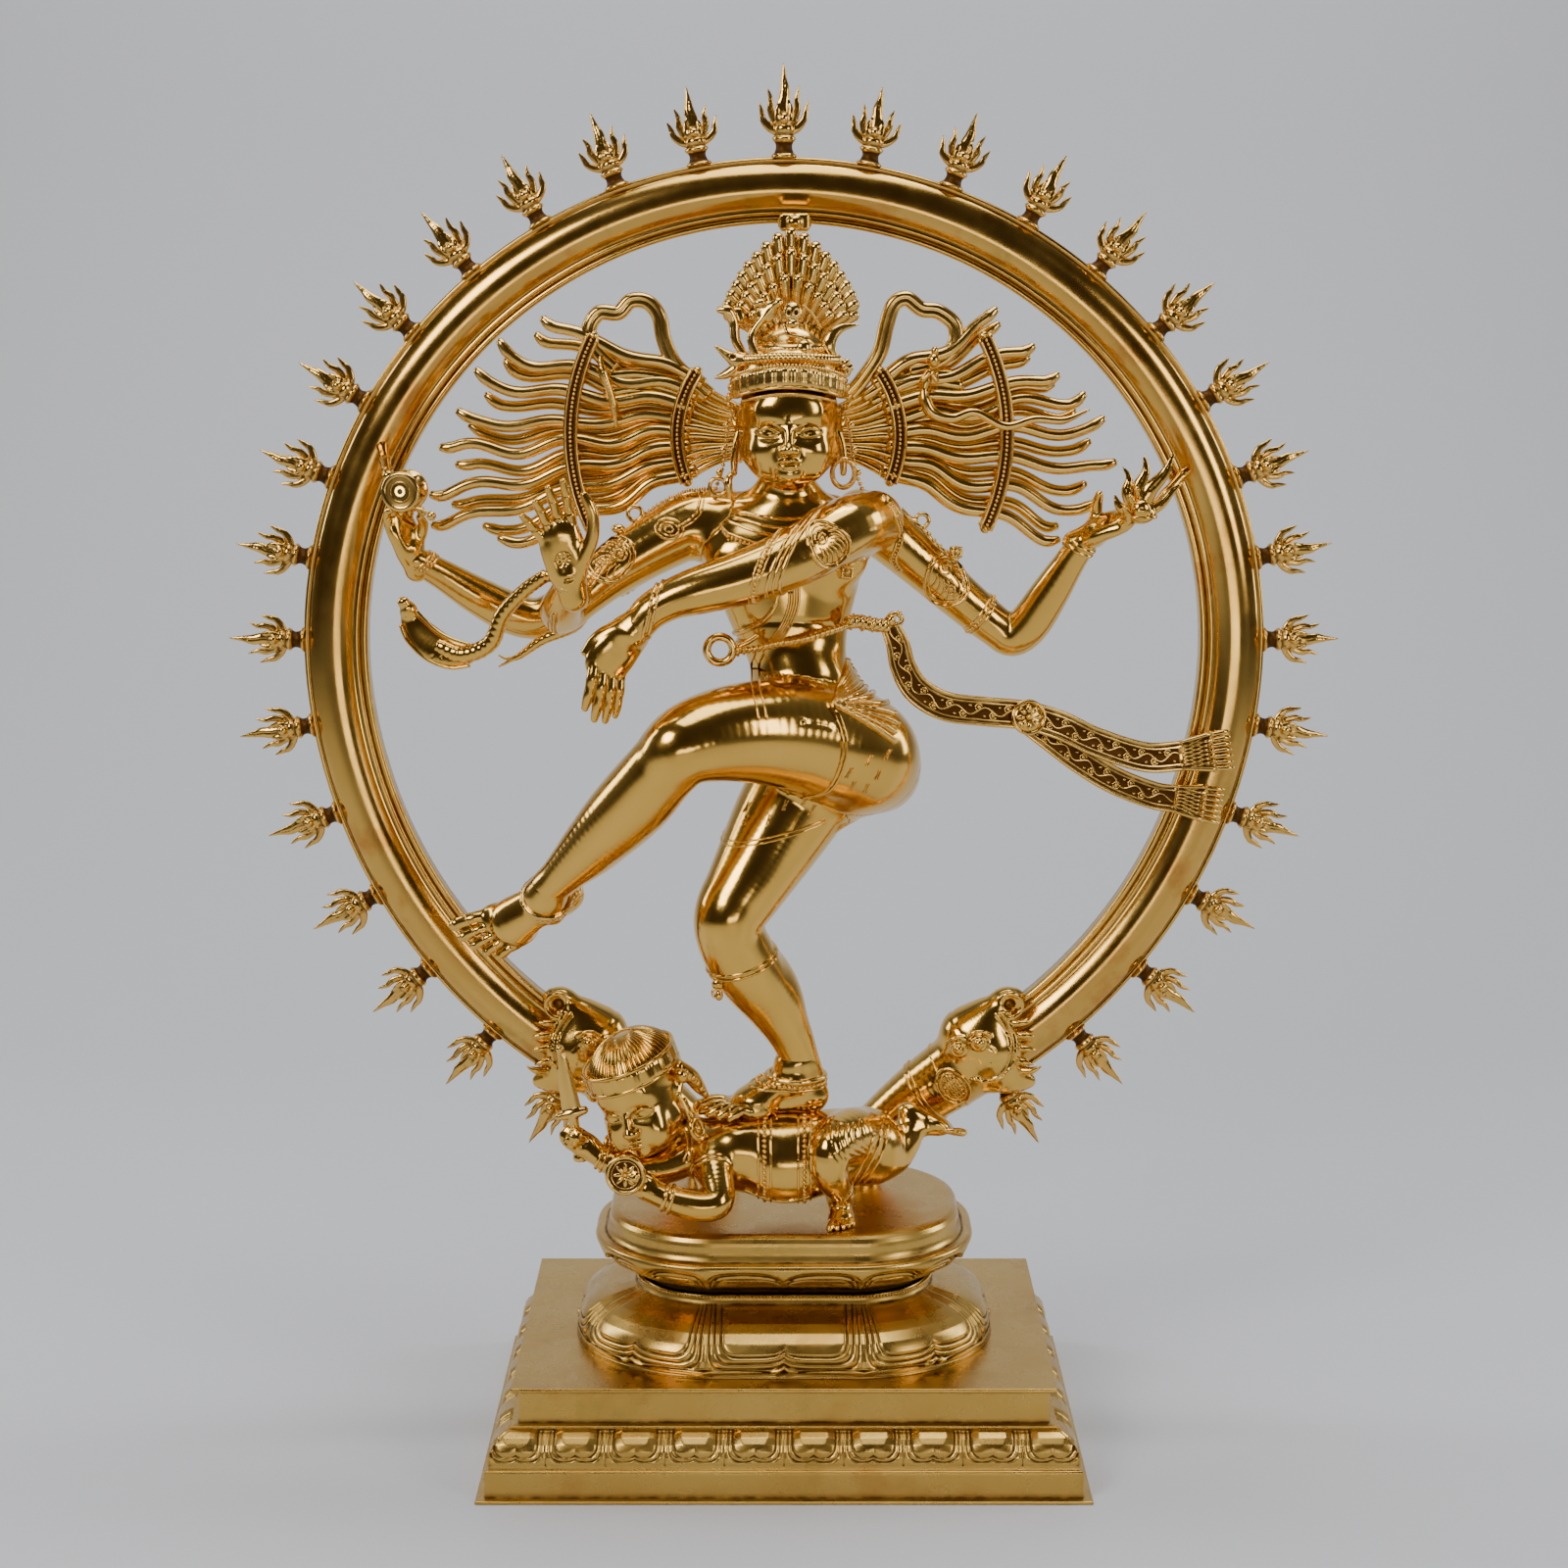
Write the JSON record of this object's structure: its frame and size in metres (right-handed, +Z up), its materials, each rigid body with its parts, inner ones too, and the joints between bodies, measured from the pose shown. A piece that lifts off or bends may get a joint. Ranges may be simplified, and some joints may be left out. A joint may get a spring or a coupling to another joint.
{
  "type": "brass nataraja statue",
  "caption": "Cast brass nataraja dancing on a dwarf over a lotus pedestal and moulded plinth, inside a ring of flames that ends in sea-beast heads.",
  "frame": {"origin": "centre of the plinth's underside", "axes": "+X to the viewer's right, +Y to the back, +Z up"},
  "size_m": [0.987, 0.39, 1.2126],
  "materials": {
    "figure_brass": "polished, dark patina in the recesses",
    "ring_brass": "polished, faint mottled patina",
    "pedestal_brass": "satin brushed, dark patina in the incised lines",
    "fastener_steel": "zinc plated"
  },
  "bodies": {
    "root": {"arm_left_front": "figure_brass", "arm_left_rear": "figure_brass", "arm_right_front": "figure_brass", "arm_right_rear": "figure_brass", "blade": "figure_brass", "crest_lug": "figure_brass", "crown": "figure_brass", "drum": "figure_brass", "dwarf": "figure_brass", "dwarf_head": "figure_brass", "feather_crest": "figure_brass", "flame_01": "ring_brass", "flame_02": "ring_brass", "flame_03": "ring_brass", "flame_04": "ring_brass", "flame_05": "ring_brass", "flame_06": "ring_brass", "flame_07": "ring_brass", "flame_08": "ring_brass", "flame_09": "ring_brass", "flame_10": "ring_brass", "flame_11": "ring_brass", "flame_12": "ring_brass", "flame_13": "ring_brass", "flame_14": "ring_brass", "flame_15": "ring_brass", "flame_16": "ring_brass", "flame_17": "ring_brass", "flame_18": "ring_brass", "flame_19": "ring_brass", "flame_20": "ring_brass", "flame_21": "ring_brass", "flame_22": "ring_brass", "flame_23": "ring_brass", "flame_24": "ring_brass", "flame_25": "ring_brass", "flame_26": "ring_brass", "flame_27": "ring_brass", "flame_28": "ring_brass", "flame_29": "ring_brass", "flame_30": "ring_brass", "flame_31": "ring_brass", "flame_arch": "ring_brass", "hair_fan_left": "figure_brass", "hair_fan_right": "figure_brass", "hand_struts": "figure_brass", "head": "figure_brass", "leg_raised": "figure_brass", "leg_standing": "figure_brass", "lotus_pedestal": "pedestal_brass", "makara_left": "ring_brass", "makara_right": "ring_brass", "palm_flame": "figure_brass", "pedestal_studs": "fastener_steel", "plinth": "pedestal_brass", "scarf": "figure_brass", "snake": "figure_brass", "stud_nuts": "fastener_steel", "torso": "figure_brass", "waist_band": "figure_brass"}
  },
  "joints": []
}
